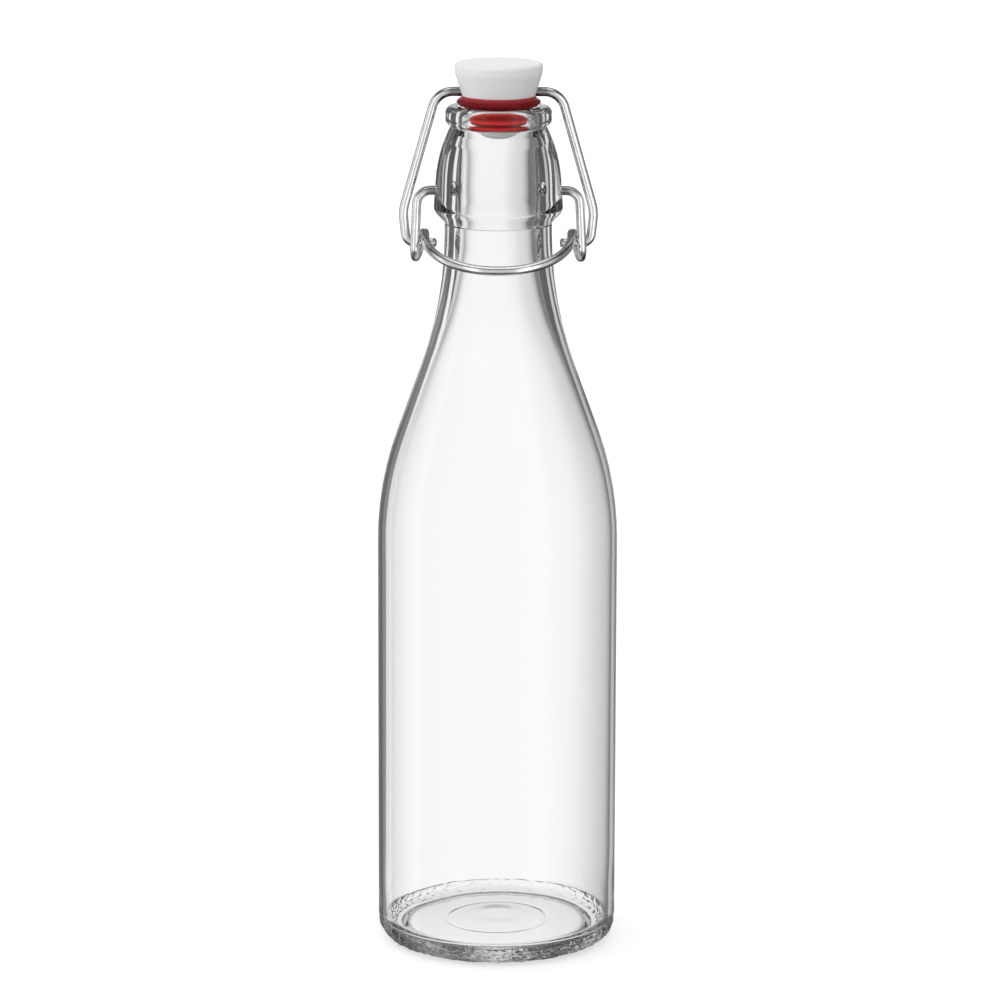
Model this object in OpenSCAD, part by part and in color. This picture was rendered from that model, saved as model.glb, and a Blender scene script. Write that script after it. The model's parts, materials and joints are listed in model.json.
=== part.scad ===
// Clear glass swing-top bottle: a lathe-shaped bottle whose mouth is closed by a
// plug that two wires hold down. The lower wire is a lever that turns in two
// dimples in the collar, and the upper wire is a bail that joins it to the plug.
// The bottle stands on Z = 0 with its axis on Z, and the lever's bow is at -Y.

/* [Bottle] */
// Outside diameter of the body
body_d = 70; // [66:0.5:71]
// Height of the glass, from the table to the lip
glass_h = 247.4; // [245.7:0.1:256]
// Thickness of the body's wall
wall = 2.2; // [1.8:0.1:3]
// Height of the corner where the body's side meets the shoulder's cone
shoulder_z = 136.8; // [120:0.1:138.5]
// Slope of the shoulder's cone, in degrees from upright
shoulder_slope = 20; // [19:0.5:24]
// Outside diameter of the neck under the collar
neck_d = 31; // [30:0.1:32]
// Diameter of the bore through the neck
bore_d = 22; // [20:0.1:23]
// Widest diameter of the collar that holds the lever
collar_d = 37; // [36:0.1:38]
// Outside diameter of the lip
lip_d = 30.6; // [30:0.1:31.5]
// Diameter of the mouth, inside the lip
mouth_d = 21.2; // [21:0.1:22]
// Thickness of the glass at the middle of the base
base_t = 4; // [3:0.1:6]
// Rise of the hollow under the base
push_up = 2.6; // [2:0.1:4]

/* [Stopper and seal] */
// Widest diameter of the stopper's head
head_d = 25.4; // [24.4:0.1:26]
// Height of the stopper's head
head_h = 10.5; // [10:0.1:12]
// Diameter of the button that keeps the seal on the stem
button_d = 12.8; // [11:0.1:13.4]
// Diameter of the stem through the seal
stem_d = 9; // [7:0.1:10]
// Diameter of the seal's flange
flange_d = 24.6; // [23:0.1:25.6]
// Thickness of the seal's flange
flange_t = 1.95; // [1.5:0.05:3]
// Depth of the seal's plug inside the mouth
plug_h = 5.1; // [5:0.05:8]
// Diameter of the plug at its lower end
plug_end_d = 15.8; // [14.5:0.1:17]

/* [Wires] */
// Diameter of both wires
wire_d = 2.7; // [2.4:0.1:2.8]
// Distance from the middle to each arm of the lever
arm_x = 23.3; // [23:0.1:24]
// Distance from the middle to the outside strand of each eye
eye_x = 24.2; // [24:0.1:24.6]
// Reach of the bow in front of the bottle's axis
bow_y = 21.2; // [20.8:0.1:23]
// Slope of the bow, in degrees below level
bow_slope = 19.8; // [15:0.1:25]
// Distance from the middle to the bail's upper corners
bail_top_x = 17.7; // [17:0.1:18.5]
// Distance from the middle to the bail's knees
bail_knee_x = 27.5; // [27:0.1:28.5]

/* [Hidden] */
$fn = 72;
// Largest gap between an arc and the chords that draw it
chord_gap = 0.02;
// Each straight of wire runs on this far into its bends, and the bends are a hair thinner,
// so that the ends of a bend lie inside the straights and the wire is one solid
lap = 0.05;
bend_step = 0.02;

body_r = body_d / 2;
neck_r = neck_d / 2;
collar_r = collar_d / 2;
lip_r = lip_d / 2;
mouth_r = mouth_d / 2;
wire_r = wire_d / 2;

// Heights on the neck, counted down from the lip because closures fit from there
lip_drop = 5.2;
brow_drop = 14;
pivot_drop = 24.6;
ledge_drop = 33.6;
pivot_z = glass_h - pivot_drop;

// Depth of the mouth's straight part, and the depth where its taper has reached the bore
mouth_depth = 9;
taper_depth = 12;
// How far the dimples are set into the collar, and the room that the wire leaves at their bottom
dimple_depth = 3.3;
dimple_gap = 0.3;

// Radii of the long curves: the outside where the body meets the shoulder and where the shoulder
// meets the neck, the same two places inside, and the collar's round upper part
shoulder_bend = 95;
neck_bend = 115;
hold_bend = 92;
bore_bend = 100;
collar_bend = 40;

// Foot: the width of the ring round the hollow under the base, the rise at that ring's inner edge,
// and the radius of the heel outside it
foot_w = 7;
foot_rise = 1.4;
heel_bend = 5;
// The floor inside is this much lower at its edge than in the middle
floor_dish = 1.4;
// The rise takes this much of the radius inside the foot
foot_slope_w = 2.5;
// Radius of the corner between the wall and the floor, and the width of the floor's level edge
floor_bend = 3;
floor_edge_w = 3.4;
// Both sides of the base are flat out to here, and then slope down together past a soft bend
flat_r = 7;
flat_bend = 60;

// Running clearance around a wire in its hole, and the gap that keeps bodies apart
hole_clear = 0.08;
rest_gap = 0.15;

// Seal and stopper levels
seal_z = glass_h + rest_gap;
head_z = seal_z + flange_t;
plug_z = seal_z - plug_h;
button_h = 5.9;
button_bend = 2.5;
// The head is this much narrower at its foot, and its flare ends this far below its top
head_taper = 2.4;
head_brim = 3;
// The flange is this much narrower at its top
flange_taper = 1.6;
head_wire_z = head_z + 1.9;

// The lever's eyes: each is one turn of wire around the bail's pin, and the strand that leaves
// for the bow is eye_step nearer to the bottle than the one that comes down the arm
eye_r = 3.5;
arm_length = 15.9;
eye_z = pivot_z - arm_length;
eye_step = 2.9;
// Share of eye_step that the wire has moved at the bottom of the eye, and the bow's own lean inward
eye_share = 0.3;
bow_lean = 0.7;
arm_bend = 4;
bow_bend = 20.3;
arm_lean = asin(eye_r / arm_length);

// The bail's pins: their inner ends, the corners outside the eyes, and the knees above those corners
pin_z = eye_z + eye_r - wire_d - rest_gap;
pin_end_x = 17.7;
pin_corner_x = 26.5;
knee_rise = 9.3;
pin_bend = 3;
knee_bend = 12;
top_bend = 6;
bow_z0 = eye_z + eye_r / cos(bow_slope);

function unit(v) = v / norm(v);
function flip(points) = [for (i = [len(points) - 1:-1:0]) let (p = points[i]) [-p[0], p[1], p[2], p[3]]];

// Points of the arc that rounds corner b, between a and c, with radius r
function corner_arc(a, b, c, r) =
    let (
        u = unit(a - b),
        v = unit(c - b),
        half = acos(u * v) / 2,
        middle = b + unit(u + v) * r / sin(half),
        p = b + u * r / tan(half) - middle,
        q = b + v * r / tan(half) - middle,
        turn = atan2(cross(p, q), p * q),
        steps = ceil(abs(turn) / (2 * acos(1 - chord_gap / r))),
        start = atan2(p[1], p[0])
    )
    [for (i = [0:steps]) middle + r * [cos(start + turn * i / steps), sin(start + turn * i / steps)]];

// Outline through corners given as [x, y, radius], where radius 0 keeps the corner sharp
function outline(corners) =
    [for (i = [0:len(corners) - 1])
        let (k = corners[i], b = [k[0], k[1]])
        each k[2] == 0 ? [b] : let (
            a = corners[i - 1],
            c = corners[i + 1]
        )
        corner_arc([a[0], a[1]], b, [c[0], c[1]], k[2])];

// Turns z into the direction w, for a straight stretch of wire
function aim(w) =
    let (
        u = unit(cross(abs(w[0]) < 0.9 ? [1, 0, 0] : [0, 1, 0], w)),
        v = cross(w, u)
    )
    [[u[0], v[0], w[0], 0], [u[1], v[1], w[1], 0], [u[2], v[2], w[2], 0], [0, 0, 0, 1]];

function xyz(k) = [k[0], k[1], k[2]];

module straight(p, q, d) {
    translate(p)
        multmatrix(aim(unit(q - p)))
            cylinder(h = norm(q - p), d = d);
}

// One bend of wire that rounds corner b, between a and c, with radius r
module bend(a, b, c, r, d) {
    u = unit(a - b);
    v = unit(c - b);
    half = acos(u * v) / 2;
    middle = b + unit(u + v) * r / sin(half);
    e1 = unit(b + u * r / tan(half) - middle);
    e3 = unit(cross(v, u));
    e2 = cross(e3, e1);
    multmatrix([
        [e1[0], e2[0], e3[0], middle[0]],
        [e1[1], e2[1], e3[1], middle[1]],
        [e1[2], e2[2], e3[2], middle[2]],
        [0, 0, 0, 1]
    ])
        rotate_extrude(angle = 180 - 2 * half)
            translate([r, 0])
                circle(d = d);
}

// Distance from a corner to where its bend begins
function setback(a, b, c, r) = r == 0 ? 0 : r / tan(acos(unit(a - b) * unit(c - b)) / 2);

// Round wire along corners given as [x, y, z, bend radius]
module bent_wire(corners, d) {
    last = len(corners) - 1;
    points = [for (k = corners) xyz(k)];
    cuts = [for (i = [0:last])
        i == 0 || i == last ? 0 : setback(points[i - 1], points[i], points[i + 1], corners[i][3])];
    for (i = [0:last - 1]) {
        along = unit(points[i + 1] - points[i]);
        from = i == 0 ? 0 : cuts[i] - lap;
        to = i + 1 == last ? 0 : cuts[i + 1] - lap;
        straight(points[i] + along * from, points[i + 1] - along * to, d);
    }
    for (i = [1:last - 1])
        bend(points[i - 1], points[i], points[i + 1], corners[i][3], d - bend_step);
}

// Outside of the glass, from the middle of the base up to the lip
function glass_outside() =
    let (
        neck_z = shoulder_z + (body_r - neck_r) / tan(shoulder_slope),
        ledge_z = glass_h - ledge_drop
    )
    [
        [0, push_up, 0],
        [flat_r, push_up, flat_bend],
        [body_r - foot_w - foot_slope_w, foot_rise, 4],
        [body_r - foot_w, 0, 1],
        [body_r, 0, heel_bend],
        [body_r, shoulder_z, shoulder_bend],
        [neck_r, neck_z, neck_bend],
        [neck_r, ledge_z - 0.2, 0.8],
        [collar_r + 0.2, ledge_z + 3.4, 3],
        [collar_r - 0.9, glass_h - brow_drop, collar_bend],
        [lip_r - 1.5, glass_h - lip_drop - 0.6, 0.5],
        [lip_r, glass_h - lip_drop + 0.4, 1.6],
        [lip_r, glass_h, 2]
    ];

// Inside of the glass, from the mouth down to the middle of the floor
function glass_inside() =
    let (
        hold_r = body_r - wall,
        bore_r = bore_d / 2,
        hold_z = shoulder_z - 1.5,
        bore_z = hold_z + (hold_r - bore_r) / tan(shoulder_slope),
        floor_z = push_up + base_t
    )
    [
        [mouth_r, glass_h, 1.4],
        [mouth_r, glass_h - mouth_depth, 2],
        [bore_r, glass_h - taper_depth, 2],
        [bore_r, bore_z, bore_bend],
        [hold_r, hold_z, hold_bend],
        [hold_r, floor_z - floor_dish, floor_bend],
        [hold_r - floor_edge_w, floor_z - floor_dish, 4],
        [flat_r, floor_z, flat_bend],
        [0, floor_z, 0]
    ];

module bottle() {
    dimple_x = collar_r - dimple_depth;
    color([0.85, 0.93, 0.92, 0.35])
        difference() {
            rotate_extrude()
                polygon(outline(concat(glass_outside(), glass_inside())));
            for (side = [-1, 1])
                translate([side * dimple_x, 0, pivot_z])
                    rotate([0, side * 90, 0])
                        cylinder(h = 2 * dimple_depth, r = wire_r + hole_clear);
        }
}

module stopper() {
    head_r = head_d / 2;
    button_r = button_d / 2;
    stem_r = stem_d / 2;
    corners = [
        [0, plug_z - button_h, 0],
        [button_r, plug_z - button_h, button_bend],
        [button_r, plug_z, 0],
        [stem_r, plug_z, 0],
        [stem_r, head_z, 0],
        [head_r - head_taper, head_z, 0.9],
        [head_r - 0.1, head_z + head_h - head_brim, 4],
        [head_r, head_z + head_h - 0.25, 1],
        [0, head_z + head_h, 0]
    ];
    color([0.93, 0.93, 0.93])
        difference() {
            rotate_extrude()
                polygon(outline(corners));
            translate([-head_r, 0, head_wire_z])
                rotate([0, 90, 0])
                    cylinder(h = head_d, r = wire_r + hole_clear);
        }
}

module seal() {
    flange_r = flange_d / 2;
    stem_r = stem_d / 2;
    // Room between the plug and the mouth, which lets the plug swing out on an arc
    plug_gap = 0.4;
    corners = [
        [stem_r, plug_z, 0],
        [plug_end_d / 2, plug_z, 0.6],
        [mouth_r - plug_gap, seal_z, 0],
        [flange_r - 0.8, seal_z, 0],
        [flange_r, seal_z + flange_t * 0.4, 0.4],
        [flange_r - flange_taper, head_z, 0.4],
        [stem_r, head_z, 0]
    ];
    color([0.72, 0.06, 0.08])
        rotate_extrude()
            polygon(outline(corners));
}

module bail() {
    half = [
        [-pin_end_x, 0, pin_z, 0],
        [-pin_corner_x, 0, pin_z, pin_bend],
        [-bail_knee_x, 0, pin_z + knee_rise, knee_bend],
        [-bail_top_x, 0, head_wire_z, top_bend]
    ];
    color([0.72, 0.73, 0.74])
        bent_wire(concat(half, flip(half)), wire_d);
}

module lever() {
    // Where the arm meets the bottom of the eye, in front of the pivot
    eye_front_y = (pivot_z - eye_z + eye_r) * tan(arm_lean);
    // A hair under the eye's radius, so that straights are left between its bends
    eye_bend = eye_r - lap;
    dimple_x = collar_r - dimple_depth;
    half = [
        [-(dimple_x + dimple_gap), 0, pivot_z, 0],
        [-arm_x, 0, pivot_z, arm_bend],
        [-eye_x, -eye_front_y, eye_z - eye_r, eye_bend],
        [-(eye_x - eye_share * eye_step), eye_r, eye_z - eye_r, eye_bend],
        [-(eye_x - eye_step), eye_r, bow_z0 + eye_r * tan(bow_slope), eye_bend],
        [-(eye_x - eye_step - bow_lean), -bow_y, bow_z0 - bow_y * tan(bow_slope), bow_bend]
    ];
    color([0.72, 0.73, 0.74])
        bent_wire(concat(half, flip(half)), wire_d);
}

bottle();
stopper();
seal();
bail();
lever();
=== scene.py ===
"""Clear glass swing-top bottle: finished pieces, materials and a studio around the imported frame.

The model is in metres in the frame's own axes, with Z up the bottle and the lever's bow at -Y.
The sizes at the top and all corner lists are in millimetres, and MM turns them into metres.
"""

import json
import math

import bpy
import numpy as np
from mathutils import Matrix, Vector


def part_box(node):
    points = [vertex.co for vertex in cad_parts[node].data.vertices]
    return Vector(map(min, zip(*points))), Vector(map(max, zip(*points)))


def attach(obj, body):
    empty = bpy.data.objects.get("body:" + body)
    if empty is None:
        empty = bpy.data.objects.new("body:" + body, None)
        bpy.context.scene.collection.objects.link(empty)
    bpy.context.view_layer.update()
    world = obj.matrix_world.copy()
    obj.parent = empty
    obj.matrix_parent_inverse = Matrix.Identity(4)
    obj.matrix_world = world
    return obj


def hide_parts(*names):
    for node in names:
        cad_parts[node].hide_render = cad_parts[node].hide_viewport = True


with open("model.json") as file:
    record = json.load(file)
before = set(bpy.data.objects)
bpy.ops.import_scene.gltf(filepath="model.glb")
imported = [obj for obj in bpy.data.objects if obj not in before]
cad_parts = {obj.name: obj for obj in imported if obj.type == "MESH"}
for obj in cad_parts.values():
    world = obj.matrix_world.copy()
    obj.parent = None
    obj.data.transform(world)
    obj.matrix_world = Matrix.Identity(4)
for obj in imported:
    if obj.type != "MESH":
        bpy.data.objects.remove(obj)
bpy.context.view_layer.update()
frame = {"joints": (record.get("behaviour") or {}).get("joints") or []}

MM = 0.001

# ---------------------------------------------------------------- sizes
# In millimetres and radians. The frame gives the overall sizes and the pivots, and the rest are
# the design's own dimensions.
_, glass_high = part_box("bottle")
joints = {joint["name"]: joint for joint in frame["joints"]}

BODY_R = glass_high.x / MM
GLASS_H = glass_high.z / MM
PIVOT_Z = joints["lever_swing"]["pos_m"][2] / MM
PIN_Z = joints["bail_turn"]["pos_m"][2] / MM
HEAD_WIRE_Z = joints["stopper_turn"]["pos_m"][2] / MM

# Glass
WALL = 2.2
SHOULDER_Z = 136.8
SHOULDER_SLOPE = math.radians(20)
NECK_R = 15.5
BORE_R = 11
COLLAR_R = 18.5
COLLAR_H = 33.6
LIP_R = 15.3
MOUTH_R = 10.6
PUSH_UP = 2.6
BASE_T = 4
SOCKET_R = 1.5
SOCKET_DEPTH = 3.3

# The stippled heel ends in a fine groove, and a fine ring is moulded on the underside
HEEL_TOP = 6.4
GROOVE_DEPTH = 0.5
GROOVE_W = 0.36
RING_R = 14.7
RING_DEPTH = 0.06
RING_W = 0.7

# Stopper and seal
HEAD_R = 12.7
HEAD_Z = 249.5
HEAD_H = 10.5
STEM_R = 4.5
BUTTON_R = 6.4
BUTTON_H = 5.9
PLUG_Z = 242.45
SEAL_Z = 247.55
SEAL_HOLE_R = 4.6
FLANGE_R = 12.3

# Wires
WIRE_R = 1.35
WIRE_DOME = 0.45 * WIRE_R
WIRE_GAP = 0.08
PIN_END_X = 17.7
BAIL_X = 26.5
BAIL_TOP_X = 17.7
ARM_X = 23.3
EYE_X = 24.2
EYE_R = 3.5
EYE_STEP = 2.9
EYE_DROP = 15.9
EYE_Z = PIVOT_Z - EYE_DROP
ARM_LEAN = math.asin(EYE_R / EYE_DROP)
BOW_Y = 21.2
BOW_BEND = 20.3
BOW_SLOPE = math.radians(19.8)
BOW_Z = EYE_Z + EYE_R / math.cos(BOW_SLOPE)

# How finely the pieces are cut up
PLAIN_STEP = 3
FIRST_CUT = 0.7
BOTTLE_ANGLES = 600
DIMPLE_ANGLES = 36
DIMPLE_SPAN = 2.3
STOPPER_ANGLES = 160
WIRE_SIDES = 32
HOLE_SIDES = 48


# ---------------------------------------------------------------- shape helpers
def arc_points(a, b, c, radius, step):
    """Points of the arc that rounds corner b, between a and c, one per step of turn."""
    u = (a - b).normalized()
    v = (c - b).normalized()
    half = math.acos(max(-1.0, min(1.0, u.dot(v)))) / 2
    middle = b + (u + v).normalized() * radius / math.sin(half)
    first = b + u * radius / math.tan(half) - middle
    last = b + v * radius / math.tan(half) - middle
    turn = first.angle(last)
    count = max(2, math.ceil(turn / step))
    side = (last - first * math.cos(turn)) / math.sin(turn)
    return [middle + first * math.cos(turn * i / count) + side * math.sin(turn * i / count)
            for i in range(count + 1)]


def rounded(corners, step):
    """Path through corners given as (point, radius); radius 0 keeps a corner sharp."""
    points = [Vector(point) for point, _ in corners]
    path = []
    for i, (_, radius) in enumerate(corners):
        if radius == 0:
            path.append(points[i])
        else:
            path += arc_points(points[i - 1], points[i], points[i + 1], radius, step)
    return path


def spaced(path, longest):
    """The same path with every stretch cut to at most the given length."""
    made = [path[0]]
    for a, b in zip(path, path[1:]):
        count = max(1, math.ceil((b - a).length / longest))
        made += [a.lerp(b, i / count) for i in range(1, count + 1)]
    return made


def outline(corners, longest, step, closed=False):
    """A lathe outline as (r, z) in metres, from (r, z, bend radius) corners in millimetres."""
    if closed:
        corners = [(*corners[-1][:2], 0), *corners, (*corners[0][:2], 0)]
    path = rounded([(Vector((r * MM, 0, z * MM)), radius * MM) for r, z, radius in corners], step)
    if closed:
        path = path[1:-1]
    return [(p.x, p.z) for p in spaced(path, longest * MM)]


def part_way(a, b, n, count):
    """The (r, z) that is n of count equal steps on the way from a to b."""
    return a[0] + (b[0] - a[0]) * n / count, a[1] + (b[1] - a[1]) * n / count


def highest(profile):
    """The place in the profile of its highest point."""
    return max(range(len(profile)), key=lambda i: profile[i][1])


def smooth(low, high, x):
    """0 below low, 1 above high, and an S curve between."""
    t = np.clip((x - low) / (high - low), 0, 1)
    return t * t * (3 - 2 * t)


def bell(offset, width):
    """1 where the offset is 0, falling away to 0 beyond about twice the width."""
    return np.exp(-(offset / width) ** 2)


def even_angles(count):
    return [2 * math.pi * i / count for i in range(count)]


def side_dense_angles(count, extra, width):
    """Even angles with extra ones within width of the two side directions, +X and -X."""
    made = set(round(a, 9) for a in even_angles(count))
    for side in (0, math.pi):
        made |= {round((side + width * (2 * i / extra - 1)) % (2 * math.pi), 9)
                 for i in range(extra + 1)}
    kept = []
    for a in sorted(made):
        if not kept or a - kept[-1] > 2e-4:
            kept.append(a)
    return kept


def neighbours(count):
    """Each place on a ring with the next one round."""
    return [(i, (i + 1) % count) for i in range(count)]


def mesh_object(name, vertices, faces, material):
    mesh = bpy.data.meshes.new(name)
    mesh.from_pydata([tuple(v) for v in vertices], [], faces)
    mesh.validate()
    mesh.update()
    mesh.shade_smooth()
    mesh.materials.append(material)
    made = bpy.data.objects.new(name, mesh)
    bpy.context.scene.collection.objects.link(made)
    return made


def lathe(name, profile, angles, material, shape=None):
    """A closed solid turned from an (r, z) profile, which starts and ends on the axis or is a loop.

    shape(points, ring) may move the points; ring is each point's place along the profile.
    """
    on_axis = [r < 1e-9 for r, _ in profile]
    vertices, rings, ring_of = [], [], []
    for i, (r, z) in enumerate(profile):
        if on_axis[i]:
            rings.append([len(vertices)] * len(angles))
            vertices.append((0.0, 0.0, z))
            ring_of.append(i)
        else:
            rings.append(list(range(len(vertices), len(vertices) + len(angles))))
            vertices += [(r * math.cos(a), r * math.sin(a), z) for a in angles]
            ring_of += [i] * len(angles)
    spans = list(zip(rings, rings[1:]))
    if not on_axis[0]:
        spans.append((rings[-1], rings[0]))
    faces = []
    for low, high in spans:
        for j, k in neighbours(len(angles)):
            corners = (low[j], low[k], high[k], high[j])
            kept = [v for n, v in enumerate(corners) if v not in corners[:n]]
            if len(kept) > 2:
                faces.append(kept)
    points = np.array(vertices)
    if shape is not None:
        points = shape(points, np.array(ring_of))
    return mesh_object(name, points, faces, material)


def sweep(name, path, radius, depth, sides, material):
    """Round wire along a path, with its two ends domed to the given depth."""
    along = [(b - a).normalized() for a, b in zip(path, path[1:])]
    tangents = [along[0], *[(a + b).normalized() for a, b in zip(along, along[1:])], along[-1]]

    # One direction across the wire is carried along the path without twist
    up = Vector((0, 1, 0)) if abs(tangents[0].y) < 0.9 else Vector((1, 0, 0))
    across = (up - tangents[0] * up.dot(tangents[0])).normalized()
    frames = []
    previous = tangents[0]
    for tangent in tangents:
        across = (previous.rotation_difference(tangent) @ across).normalized()
        frames.append((tangent, across.copy()))
        previous = tangent

    # Stations are (centre, tangent, across, radius), and the first and last few make the domes
    dome = [(math.sin(t) * radius, depth - math.cos(t) * depth)
            for t in [math.pi / 2 * i / 6 for i in range(1, 7)]]
    start, end = path[0], path[-1]
    stations = [(start + frames[0][0] * inset, *frames[0], size) for size, inset in dome]
    stations += [(point, *place, radius) for point, place in zip(path[1:-1], frames[1:-1])]
    stations += [(end - frames[-1][0] * inset, *frames[-1], size) for size, inset in reversed(dome)]

    vertices = []
    for centre, tangent, across, size in stations:
        other = tangent.cross(across)
        vertices += [centre + (across * math.cos(a) + other * math.sin(a)) * size
                     for a in even_angles(sides)]
    last_ring = len(vertices) - sides
    first_tip, last_tip = len(vertices), len(vertices) + 1
    vertices += [start, end]
    faces = []
    for low in range(0, last_ring, sides):
        high = low + sides
        faces += [(low + i, low + k, high + k, high + i) for i, k in neighbours(sides)]
    for i, k in neighbours(sides):
        faces.append((k, i, first_tip))
        faces.append((last_ring + i, last_ring + k, last_tip))
    return mesh_object(name, vertices, faces, material)


def cut_hole(piece, radius, start, end):
    """Bores a round hole along X from start to end through the piece."""
    vertices = [(x, start.y + radius * math.cos(a), start.z + radius * math.sin(a))
                for x in (start.x, end.x) for a in even_angles(HOLE_SIDES)]
    faces = [(i, k, HOLE_SIDES + k, HOLE_SIDES + i) for i, k in neighbours(HOLE_SIDES)]
    faces += [tuple(reversed(range(HOLE_SIDES))), tuple(range(HOLE_SIDES, 2 * HOLE_SIDES))]
    drill = mesh_object("drill", vertices, faces, piece.data.materials[0])
    change = piece.modifiers.new("bore", "BOOLEAN")
    change.operation = "DIFFERENCE"
    change.solver = "EXACT"
    change.object = drill
    graph = bpy.context.evaluated_depsgraph_get()
    bored = bpy.data.meshes.new_from_object(piece.evaluated_get(graph))
    piece.modifiers.clear()
    piece.data = bored
    bpy.data.objects.remove(drill)
    return piece


# ---------------------------------------------------------------- shader helpers
# Where these take a value, it is a number or another node's output.
def node(tree, kind, **settings):
    made = tree.nodes.new(kind)
    for key, value in settings.items():
        setattr(made, key, value)
    return made


def feed(tree, socket, value):
    if isinstance(value, bpy.types.NodeSocket):
        tree.links.new(value, socket)
    else:
        socket.default_value = value


def math_node(tree, operation, *values):
    made = node(tree, "ShaderNodeMath", operation=operation)
    for socket, value in zip(made.inputs, values):
        feed(tree, socket, value)
    return made.outputs["Value"]


def product(tree, *values):
    result = values[0]
    for value in values[1:]:
        result = math_node(tree, "MULTIPLY", result, value)
    return result


def greatest(tree, *values):
    result = values[0]
    for value in values[1:]:
        result = math_node(tree, "MAXIMUM", result, value)
    return result


def map_range(tree, value, start, end, low=0.0, high=1.0, kind="LINEAR"):
    """low up to start and high beyond end."""
    made = node(tree, "ShaderNodeMapRange", interpolation_type=kind)
    for socket, number in (("Value", value), ("From Min", start), ("From Max", end),
                           ("To Min", low), ("To Max", high)):
        feed(tree, made.inputs[socket], number)
    return made.outputs["Result"]


def soft_step(tree, value, start, end, low=0.0, high=1.0):
    """low up to start and high beyond end, with an S curve between."""
    return map_range(tree, value, start, end, low, high, "SMOOTHSTEP")


def blend_values(tree, share, low, high):
    """low where share is 0 and high where it is 1."""
    made = node(tree, "ShaderNodeMix", data_type="FLOAT")
    for socket, value in (("Factor", share), ("A", low), ("B", high)):
        feed(tree, made.inputs[socket], value)
    return made.outputs["Result"]


def blend_colours(tree, share, low, high):
    """low where share is 0 and high where it is 1; the Mix node's colour sockets go by number."""
    made = node(tree, "ShaderNodeMix", data_type="RGBA")
    for socket, value in ((0, share), (6, low), (7, high)):
        feed(tree, made.inputs[socket], value)
    return made.outputs[2]


def object_position(tree):
    """The object's own X, Y and Z, in metres."""
    split = node(tree, "ShaderNodeSeparateXYZ")
    tree.links.new(node(tree, "ShaderNodeTexCoord").outputs["Object"], split.inputs["Vector"])
    return split.outputs


def height_share(tree, low, high):
    """0 below the height low and 1 above high, both in millimetres."""
    return map_range(tree, object_position(tree)["Z"], low * MM, high * MM)


def noise(tree, scale, detail):
    """Noise in the object's own metres."""
    texture = node(tree, "ShaderNodeTexNoise")
    texture.inputs["Scale"].default_value = scale
    texture.inputs["Detail"].default_value = detail
    place = node(tree, "ShaderNodeTexCoord").outputs["Object"]
    tree.links.new(place, texture.inputs["Vector"])
    return texture.outputs["Fac"]


def varied(tree, grain, low, high):
    """From one colour or number to the other as the grain goes from 0.3 to 0.7."""
    made = node(tree, "ShaderNodeValToRGB")
    for element, position, value in zip(made.color_ramp.elements, (0.3, 0.7), (low, high)):
        element.position = position
        colour = value if isinstance(value, tuple) else (value, value, value)
        element.color = (*colour, 1)
    tree.links.new(grain, made.inputs["Fac"])
    return made.outputs["Color"]


def bump(tree, source, distance, strength):
    made = node(tree, "ShaderNodeBump")
    made.inputs["Strength"].default_value = strength
    made.inputs["Distance"].default_value = distance
    tree.links.new(source, made.inputs["Height"])
    return made.outputs["Normal"]


# ---------------------------------------------------------------- materials
def new_material(name):
    material = bpy.data.materials.new(name)
    material.use_nodes = True
    tree = material.node_tree
    return material, tree, tree.nodes["Principled BSDF"]


def glass_material():
    """Clear glass that darkens a little where light has a long way to go inside it."""
    material, tree, shader = new_material("clear_glass")
    shader.inputs["Base Color"].default_value = (1.0, 1.0, 1.0, 1)
    shader.inputs["Roughness"].default_value = 0.0
    shader.inputs["IOR"].default_value = 1.5
    shader.inputs["Transmission Weight"].default_value = 1.0
    shader.inputs["Specular Tint"].default_value = (0.3, 0.3, 0.3, 1)
    absorb = node(tree, "ShaderNodeVolumeAbsorption")
    absorb.inputs["Color"].default_value = (0.5, 0.505, 0.5, 1)
    absorb.inputs["Density"].default_value = 13
    tree.links.new(absorb.outputs["Volume"], tree.nodes["Material Output"].inputs["Volume"])
    return material


def plastic_material():
    """Satin white plastic: the head above the seal, and a button below it painted grey as painted
    shade where it sits inside the mouth.
    """
    material, tree, shader = new_material("white_plastic")
    grain = noise(tree, 220, 3)
    clean = varied(tree, grain, (0.86, 0.86, 0.865), (0.9, 0.9, 0.9))
    # Painted shade: the button below the seal is painted grey for the shade inside the mouth of the
    # glass
    painted_shade_button = varied(tree, grain, (0.60, 0.60, 0.59), (0.66, 0.66, 0.65))
    colour = blend_colours(tree, height_share(tree, PLUG_Z, HEAD_Z), painted_shade_button, clean)
    feed(tree, shader.inputs["Base Color"], colour)
    feed(tree, shader.inputs["Roughness"], varied(tree, noise(tree, 900, 2), 0.34, 0.44))
    feed(tree, shader.inputs["Normal"], bump(tree, noise(tree, 2500, 2), 0.00002, 0.25))
    shader.inputs["IOR"].default_value = 1.49
    shader.inputs["Subsurface Weight"].default_value = 0.15
    shader.inputs["Subsurface Radius"].default_value = (0.003, 0.003, 0.003)
    shader.inputs["Subsurface Scale"].default_value = 0.5
    return material


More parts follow.
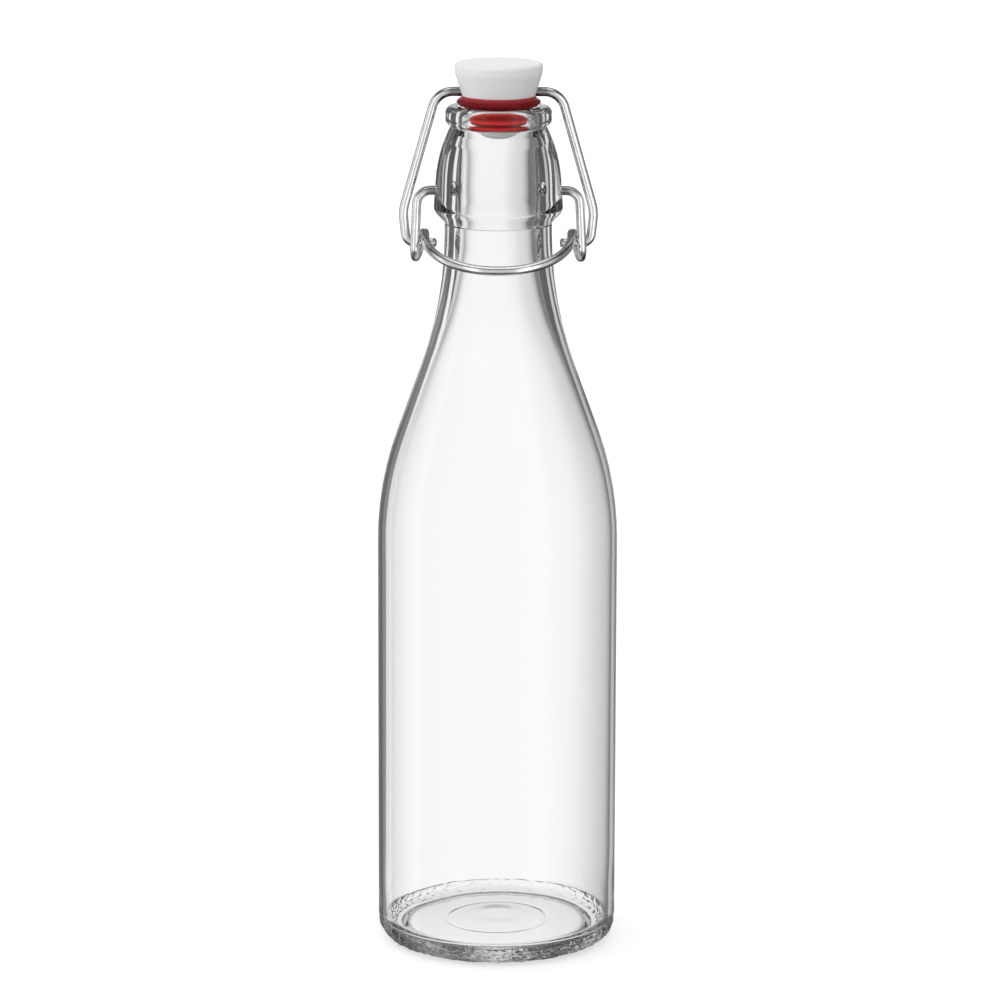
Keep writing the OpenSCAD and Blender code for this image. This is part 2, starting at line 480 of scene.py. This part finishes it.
def rubber_material():
    """Red rubber with light and shade painted by height: the plug is painted bright red as painted
    light from the glass round it, with painted shade at its top under the flange and at its lower
    edge, the flange is painted dark red as painted shade, and the raised rim round the head is
    painted paler as a painted highlight."""
    material, tree, shader = new_material("red_rubber")
    grain = noise(tree, 500, 3)
    # Painted light: the plug's red is painted brighter than the rubber's own for the light it gets
    # through the glass
    lit_plug_red = varied(tree, grain, (0.86, 0.035, 0.032), (0.92, 0.045, 0.040))
    # Painted shade: dark red painted at the plug's top under the flange and at its lower edge
    painted_shade_colour = varied(tree, grain, (0.17, 0.001, 0.002), (0.20, 0.002, 0.003))
    # Painted shade: the flange is painted darker than the rubber's own red
    painted_shade_flange = varied(tree, grain, (0.165, 0.004, 0.006), (0.185, 0.005, 0.008))
    # Painted highlight: the raised rim round the head is painted paler
    painted_highlight_rim = varied(tree, grain, (0.42, 0.050, 0.060), (0.46, 0.060, 0.070))
    upper = height_share(tree, PLUG_Z + 1.1, PLUG_Z + 2.3)
    lower = height_share(tree, PLUG_Z + 0.9, PLUG_Z + 0.4)
    flange = height_share(tree, SEAL_Z - 0.1, SEAL_Z + 0.3)
    rim = height_share(tree, HEAD_Z - 0.3, HEAD_Z + 0.9)
    red = blend_colours(tree, greatest(tree, upper, lower), lit_plug_red, painted_shade_colour)
    red = blend_colours(tree, flange, red, painted_shade_flange)
    red = blend_colours(tree, rim, red, painted_highlight_rim)
    feed(tree, shader.inputs["Base Color"], red)
    feed(tree, shader.inputs["Roughness"], varied(tree, noise(tree, 1200, 2), 0.24, 0.36))
    feed(tree, shader.inputs["Normal"], bump(tree, noise(tree, 400, 2), 0.00001, 0.1))
    shader.inputs["IOR"].default_value = 1.45
    shader.inputs["Specular IOR Level"].default_value = 0.14
    return material


def steel_material():
    """Zinc-plated wire, with painted shade inside the head, by the dimples and at the ends of the
    pins.
    """
    material, tree, shader = new_material("zinc_plated_steel")
    grain = noise(tree, 700, 3)
    bright = varied(tree, grain, (0.72, 0.725, 0.73), (0.82, 0.82, 0.825))
    # Painted shade: the dark grey that the wire is painted inside the head, by the dimples and at
    # the pin ends
    painted_shade_colour = varied(tree, grain, (0.16, 0.16, 0.165), (0.24, 0.24, 0.245))
    x, y, z = object_position(tree)
    side = math_node(tree, "ABSOLUTE", x)

    def near_height(height):
        off = math_node(tree, "ABSOLUTE", math_node(tree, "SUBTRACT", z, height * MM))
        return soft_step(tree, off, 2.2 * MM, 1.6 * MM)

    # Where the painted shade goes: inside the head, by the dimples and on the pins' cut ends
    near_head = product(tree, soft_step(tree, side, 16 * MM, 13 * MM),
                        soft_step(tree, z, 245 * MM, 246 * MM))
    near_dimple = product(tree, soft_step(tree, side, 22 * MM, 19.5 * MM), near_height(PIVOT_Z))
    pin_end = product(tree, soft_step(tree, side, 18.6 * MM, 18 * MM), near_height(PIN_Z),
                      soft_step(tree, y, -3 * MM, -2 * MM))
    painted_shade_share = product(tree, greatest(tree, near_head, near_dimple, pin_end), 0.85)
    feed(tree, shader.inputs["Base Color"], blend_colours(tree, painted_shade_share, bright, painted_shade_colour))
    feed(tree, shader.inputs["Roughness"], varied(tree, noise(tree, 900, 3), 0.12, 0.26))
    feed(tree, shader.inputs["Normal"], bump(tree, noise(tree, 1800, 2), 0.00003, 0.3))
    shader.inputs["Metallic"].default_value = 1.0
    return material


GLASS = glass_material()
PLASTIC = plastic_material()
RUBBER = rubber_material()
STEEL = steel_material()


# ---------------------------------------------------------------- bottle
def bottle_corners():
    """The glass in section: outside from the base up to the lip, then inside back down."""
    slope = math.tan(SHOULDER_SLOPE)
    ledge = GLASS_H - COLLAR_H
    hold = BODY_R - WALL
    hold_z = SHOULDER_Z - 1.5
    floor = PUSH_UP + BASE_T
    outside = [
        (0, PUSH_UP, 0),
        (7, PUSH_UP, 60),
        (BODY_R - 9.5, 1.4, 4),
        (BODY_R - 7, 0, 1),
        (BODY_R, 0, 5),
        (BODY_R, SHOULDER_Z, 95),
        (NECK_R, SHOULDER_Z + (BODY_R - NECK_R) / slope, 115),
        (NECK_R, ledge - 0.2, 1.5),
        (COLLAR_R + 0.2, ledge + 3.4, 3),
        (COLLAR_R - 0.9, GLASS_H - 14, 40),
        (LIP_R - 1.5, GLASS_H - 5.8, 0.5),
        (LIP_R, GLASS_H - 4.8, 1.6),
        (LIP_R, GLASS_H, 2),
    ]
    inside = [
        (MOUTH_R, GLASS_H, 1.4),
        (MOUTH_R, GLASS_H - 9, 2),
        (BORE_R, GLASS_H - 12, 2),
        (BORE_R, hold_z + (hold - BORE_R) / slope, 100),
        (hold, hold_z, 92),
        (hold, floor - 1.4, 3),
        (hold - 3.4, floor - 1.4, 4),
        (7, floor, 60),
        (0, floor, 0),
    ]
    return outside + inside


def ring_step(r, z):
    """Largest distance between the lathe's rings at a place on the outside of the glass."""
    if abs(z - PIVOT_Z) < 3 and r > BORE_R + 2:
        return 0.14  # dimples
    if abs(z - HEEL_TOP) < 1:
        return 0.17  # groove
    if z < HEEL_TOP and r > BODY_R - 6.5:
        return 0.34  # stippled heel
    if z < 4 and abs(r - RING_R) < 1.6:
        return 0.2  # ring on the underside
    return PLAIN_STEP


def refined(profile):
    """The bottle's profile with more rings where the outside has fine detail."""
    lip = highest(profile)
    made = []
    for i, (start, end) in enumerate(zip(profile, profile[1:])):
        # A long stretch is cut first, so that close rings stay near the detail
        length = math.hypot(end[0] - start[0], end[1] - start[1])
        cuts = max(1, math.ceil(length / (FIRST_CUT * MM)))
        for n in range(cuts):
            a, b = part_way(start, end, n, cuts), part_way(start, end, n + 1, cuts)
            step = PLAIN_STEP
            if i < lip:
                step = ring_step((a[0] + b[0]) / 2 / MM, (a[1] + b[1]) / 2 / MM)
            if step < PLAIN_STEP:
                count = math.ceil(math.hypot(b[0] - a[0], b[1] - a[1]) / (step * MM))
                made += [part_way(a, b, k, count) for k in range(count)]
            elif n == 0:
                made.append(a)
    made.append(profile[-1])
    return made


def cell_noise(around, along, columns, rows, source):
    """Smooth random bumps from 0 to 1, with the given number of cells round the bottle."""
    grid = source.random((rows, columns))
    u = (around % 1) * columns
    v = np.clip(along, 0, 0.999) * (rows - 1)
    i, j = np.floor(u).astype(int), np.floor(v).astype(int)
    a, b = smooth(0, 1, u - i), smooth(0, 1, v - j)
    left, right = i % columns, (i + 1) % columns
    low = grid[j, left] * (1 - a) + grid[j, right] * a
    high = grid[j + 1, left] * (1 - a) + grid[j + 1, right] * a
    return low * (1 - b) + high * b


def wall_wave(angle, z):
    """How far the inside of the wall is off its true radius, as blown glass is."""
    waves = [(0.16, 1, -0.6, 0), (0.05, 2, 1.1, 0), (0.03, 3, -2, 0.018),
             (0.012, 7, 0, 0.009), (0.006, 13, 0, -0.021)]
    wave = sum(depth * np.cos(lobes * angle + start + twist * z)
               for depth, lobes, start, twist in waves)
    return wave * smooth(12, 26, z) * (1 - smooth(150, 200, z))


def heel_stipple(angle, r, z):
    """How deep the stippling is at full strength, before it fades at the heel's borders."""
    # The fixed seed gives the same heel each run
    source = np.random.default_rng(11)
    around = angle / (2 * math.pi)
    along = (r + z - BODY_R + 5) / 13
    bumps = 0.75 * cell_noise(around, along, 140, 10, source)
    bumps = bumps + 0.25 * cell_noise(around, along, 260, 16, source)
    grain = source.random(len(r))
    strength = 1 - 0.45 * smooth(2.8, 4.8, z)
    return 0.1 + strength * (0.62 * bumps + 0.05 * grain)


def make_bottle():
    profile = refined(outline(bottle_corners(), PLAIN_STEP, math.radians(4)))
    lip = highest(profile)

    def shape(points, ring):
        x, y, z = points.T / MM
        r = np.hypot(x, y)
        angle = np.arctan2(y, x)
        outer = ring <= lip
        r = np.where(outer, r, r + wall_wave(angle, z))
        # The heel sinks inward on its side and upward underneath, and a groove runs above it
        heel = outer * (1 - smooth(HEEL_TOP - 0.5, HEEL_TOP, z))
        heel = heel * smooth(BODY_R - 5.4, BODY_R - 4.4, r)
        sink = heel * heel_stipple(angle, r, z)
        groove = outer * (r > BODY_R - 1) * GROOVE_DEPTH * bell(z - HEEL_TOP, GROOVE_W)
        r = r - sink * smooth(0, 3, z) - groove
        z = z + sink * (1 - smooth(0, 5, z))
        z = z - outer * (z < 5) * RING_DEPTH * bell(r - RING_R, RING_W)
        x, y = r * np.cos(angle), r * np.sin(angle)
        # Dimples that the lever's ends turn in
        away = np.hypot(y, z - PIVOT_Z)
        share = (1 - smooth(SOCKET_R, SOCKET_R + 0.45, away)) * outer * (r > BORE_R + 2)
        bottom = np.sign(x) * (COLLAR_R - SOCKET_DEPTH)
        x = x + (bottom - x) * share
        return np.stack([x, y, z], 1) * MM

    angles = side_dense_angles(BOTTLE_ANGLES, DIMPLE_ANGLES, DIMPLE_SPAN / COLLAR_R)
    return lathe("glass_bottle", profile, angles, GLASS, shape)


bottle = make_bottle()
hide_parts("bottle")
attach(bottle, "bottle")


# ---------------------------------------------------------------- stopper and seal
def make_stopper():
    corners = [
        (0, PLUG_Z - BUTTON_H, 0),
        (BUTTON_R, PLUG_Z - BUTTON_H, 2.5),
        (BUTTON_R, PLUG_Z - 0.05, 0.4),
        (STEM_R, PLUG_Z - 0.05, 0.3),
        (STEM_R, HEAD_Z + 0.05, 0.3),
        (HEAD_R - 2.4, HEAD_Z + 0.05, 0.9),
        (HEAD_R - 0.1, HEAD_Z + HEAD_H - 3, 4),
        (HEAD_R, HEAD_Z + HEAD_H - 0.25, 1),
        (0, HEAD_Z + HEAD_H, 0),
    ]
    profile = outline(corners, 1, math.radians(6))
    made = lathe("stopper_head", profile, even_angles(STOPPER_ANGLES), PLASTIC)
    start, end = [Vector((x, 0, HEAD_WIRE_Z)) * MM for x in (-HEAD_R - 1, HEAD_R + 1)]
    return cut_hole(made, (WIRE_R + WIRE_GAP) * MM, start, end)


stopper = make_stopper()
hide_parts("stopper")
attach(stopper, "stopper")


def make_seal():
    corners = [
        (SEAL_HOLE_R, PLUG_Z, 0.2),
        (7.9, PLUG_Z, 0.6),
        (MOUTH_R - 0.4, SEAL_Z, 0.3),
        (FLANGE_R - 1, SEAL_Z, 0.3),
        (FLANGE_R, SEAL_Z + 1.0, 0.5),
        (FLANGE_R - 0.9, HEAD_Z - 0.15, 0.4),
        (10.9, HEAD_Z + 0.2, 0.4),
        (10.8, HEAD_Z + 0.95, 0.25),
        (10.1, HEAD_Z + 0.95, 0.2),
        (9.6, HEAD_Z, 0.3),
        (SEAL_HOLE_R, HEAD_Z, 0.2),
    ]
    profile = outline(corners, 0.8, math.radians(12), closed=True)

    def shape(points, ring):
        # The raised rim round the head dips at both sides, where the bail passes
        x, y, z = points.T
        rise = np.maximum(0, z - HEAD_Z * MM)
        dip = 1 - smooth(1.6 * MM, 3.2 * MM, np.abs(y))
        return np.stack([x, y, z - rise * dip], 1)

    return lathe("rubber_seal", profile, even_angles(STOPPER_ANGLES), RUBBER, shape)


seal = make_seal()
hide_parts("seal")
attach(seal, "stopper")


# ---------------------------------------------------------------- wires
def symmetric_wire(name, half):
    """A wire from its left half's (x, y, z, bend radius) corners."""
    left = [(Vector((x, y, z)) * MM, radius * MM) for x, y, z, radius in half]
    right = [(Vector((-p.x, p.y, p.z)), radius) for p, radius in reversed(left)]
    path = spaced(rounded(left + right, math.radians(5)), 2 * MM)
    return sweep(name, path, WIRE_R * MM, WIRE_DOME * MM, WIRE_SIDES, STEEL)


def make_bail():
    return symmetric_wire("wire_bail", [
        (-PIN_END_X, 0, PIN_Z, 0),
        (-BAIL_X, 0, PIN_Z, 3),
        (-BAIL_X - 1, 0, PIN_Z + 9.3, 12),
        (-BAIL_TOP_X, 0, HEAD_WIRE_Z, 6),
    ])


def make_lever():
    eye_front_y = (PIVOT_Z - EYE_Z + EYE_R) * math.tan(ARM_LEAN)
    bend = EYE_R - 0.05
    return symmetric_wire("wire_lever", [
        (-(COLLAR_R - 3), 0, PIVOT_Z, 0),
        (-ARM_X, 0, PIVOT_Z, 4),
        (-EYE_X, -eye_front_y, EYE_Z - EYE_R, bend),
        (-(EYE_X - 0.3 * EYE_STEP), EYE_R, EYE_Z - EYE_R, bend),
        (-(EYE_X - EYE_STEP), EYE_R, BOW_Z + EYE_R * math.tan(BOW_SLOPE), bend),
        (-(EYE_X - EYE_STEP - 0.7), -BOW_Y, BOW_Z - BOW_Y * math.tan(BOW_SLOPE), BOW_BEND),
    ])


bail = make_bail()
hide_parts("bail")
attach(bail, "bail")

lever = make_lever()
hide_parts("lever")
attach(lever, "lever")


# ---------------------------------------------------------------- studio
scene = bpy.context.scene

# In metres and radians, and the lens in millimetres
FLOOR_SIZE = 60
CAMERA_PLACE = (0.0007, -1.410, 0.447)
CAMERA_LENS = 178.4
CAMERA_PITCH = math.radians(12.61)
CAMERA_ROLL = math.radians(0.16)

# Azimuths of the studio's panels, in degrees: 0 is +Y and 90 is +X
BEHIND = (0, -45, -90, 135)
FRONT_STRIPS = (147, -147)
INNER_STRIP = (25,)


def make_floor():
    corners = [(-1, -1, 0), (1, -1, 0), (1, 1, 0), (-1, 1, 0)]
    vertices = [Vector(corner) * FLOOR_SIZE for corner in corners]
    material, tree, shader = new_material("pale_floor")
    shader.inputs["Base Color"].default_value = (0.9, 0.9, 0.9, 1)
    shader.inputs["Roughness"].default_value = 0.9
    shader.inputs["Emission Color"].default_value = (1, 1, 1, 1)
    shader.inputs["Emission Strength"].default_value = 0.3
    floor = mesh_object("floor", vertices, [(0, 1, 2, 3)], material)
    # Only the camera sees the floor, so the glass shows the studio's light from below too
    floor.visible_diffuse = False
    floor.visible_glossy = False
    floor.visible_transmission = False
    floor.visible_shadow = False


def panels(tree, across, azimuths, full, edge):
    """1 within full degrees of any of the azimuths and 0 beyond edge degrees.

    across is a ray's direction on the level: the sine and the cosine of its azimuth.
    """
    x, y = across
    along = []
    for azimuth in azimuths:
        sine, cosine = math.sin(math.radians(azimuth)), math.cos(math.radians(azimuth))
        along.append(math_node(tree, "MULTIPLY_ADD", y, cosine, product(tree, x, sine)))
    nearest = greatest(tree, *along)
    return soft_step(tree, nearest, math.cos(math.radians(edge)), math.cos(math.radians(full)))


def seen_through(tree, across, x, z):
    """What shines straight through the glass: panels with dark gaps that draw its edges."""
    gap = soft_step(tree, across[0], -0.3, 0.3, 0.42, 0.16)
    # The panel behind the front view fades a little to the right
    fade = product(tree, soft_step(tree, across[0], 0.01, 0.16),
                   soft_step(tree, across[1], 0.9, 0.97))
    panel = blend_values(tree, fade, 1.0, 0.75)
    light = blend_values(tree, panels(tree, across, BEHIND, 9, 24), gap, panel)
    sky = math_node(tree, "MULTIPLY_ADD", x, -0.5, 1.3)
    light = blend_values(tree, soft_step(tree, z, 0.3, 0.75), light, sky)
    return blend_values(tree, soft_step(tree, z, -0.75, -0.5), 0.9, light)


def gathered(tree, x, z, in_glass):
    """What lights the plastic, the rubber and the floor, with more light inside the glass."""
    fill = math_node(tree, "MULTIPLY_ADD", x, -0.25, 0.78)
    fill = math_node(tree, "MULTIPLY_ADD", z, 0.3, fill)
    return product(tree, fill, blend_values(tree, in_glass, 1.0, 1.6))


def mirrored_outside(tree, across, z):
    """What the wires and the outside of the glass mirror."""
    light = soft_step(tree, across[1], 0.1, -0.3, 0.22, 0.72)
    strips = panels(tree, across, FRONT_STRIPS, 5, 13)
    light = math_node(tree, "MULTIPLY_ADD", strips, 0.9, light)
    light = math_node(tree, "MULTIPLY_ADD", panels(tree, across, BEHIND, 6, 14), 0.75, light)
    light = product(tree, light, soft_step(tree, z, 0.45, 0.65, 1.0, 0.2),
                    soft_step(tree, z, -0.7, -0.35, 0.15, 1.0))
    return math_node(tree, "ADD", light, soft_step(tree, z, 0.85, 0.95, 0.0, 1.2))


def mirrored_inside(tree, across, z, far_wall):
    """What is mirrored inside the wall of the glass: narrow lights and wide dark gaps."""
    light = blend_values(tree, panels(tree, across, BEHIND, 3, 9), 0.11, 1.0)
    strip = product(tree, panels(tree, across, INNER_STRIP, 4, 9), 0.5)
    light = math_node(tree, "ADD", light, strip)
    light = blend_values(tree, soft_step(tree, z, 0.35, 0.5), light, 0.85)
    light = blend_values(tree, soft_step(tree, z, -0.8, -0.5), 0.01, light)
    return blend_values(tree, far_wall, light, 0.6)


def make_world():
    """White where the camera looks past the object, and soft light by kind of ray elsewhere."""
    world = bpy.data.worlds.new("studio")
    scene.world = world
    world.use_nodes = True
    world.cycles.sampling_method = "NONE"
    tree = world.node_tree

    split = node(tree, "ShaderNodeSeparateXYZ")
    tree.links.new(node(tree, "ShaderNodeTexCoord").outputs["Generated"], split.inputs["Vector"])
    x, y, z = split.outputs
    level = math_node(tree, "SQRT", math_node(tree, "MULTIPLY_ADD", x, x, product(tree, y, y)))
    level = greatest(tree, level, 0.001)
    across = [math_node(tree, "DIVIDE", side, level) for side in (x, y)]

    rays = node(tree, "ShaderNodeLightPath").outputs
    diffuse, mirror, in_glass = [math_node(tree, "GREATER_THAN", rays[kind], 0.5) for kind in
                                 ("Diffuse Depth", "Glossy Depth", "Transmission Depth")]
    far_wall = math_node(tree, "GREATER_THAN", rays["Transmission Depth"], 3.5)
    reflected = blend_values(tree, in_glass, mirrored_outside(tree, across, z),
                             mirrored_inside(tree, across, z, far_wall))
    light = blend_values(tree, mirror, seen_through(tree, across, x, z), reflected)
    light = blend_values(tree, diffuse, light, gathered(tree, x, z, in_glass))
    light = blend_values(tree, rays["Is Camera Ray"], light, 1.05)
    background = tree.nodes["Background"]
    background.inputs["Color"].default_value = (1, 1, 1, 1)
    tree.links.new(light, background.inputs["Strength"])


def make_camera():
    """Looks down at the bottle from in front, through a long lens."""
    data = bpy.data.cameras.new("camera")
    data.sensor_width = 36
    data.lens = CAMERA_LENS
    data.clip_start = 0.05
    data.clip_end = 200
    camera = bpy.data.objects.new("camera", data)
    scene.collection.objects.link(camera)
    camera.location = CAMERA_PLACE
    tilt = Matrix.Rotation(math.radians(90) - CAMERA_PITCH, 3, "X")
    camera.rotation_euler = (tilt @ Matrix.Rotation(CAMERA_ROLL, 3, "Z")).to_euler()
    scene.camera = camera


make_floor()
make_world()
make_camera()
scene.view_settings.view_transform = "Standard"
scene.cycles.max_bounces = 32
scene.cycles.transmission_bounces = 32
scene.cycles.glossy_bounces = 12
scene.cycles.transparent_max_bounces = 16
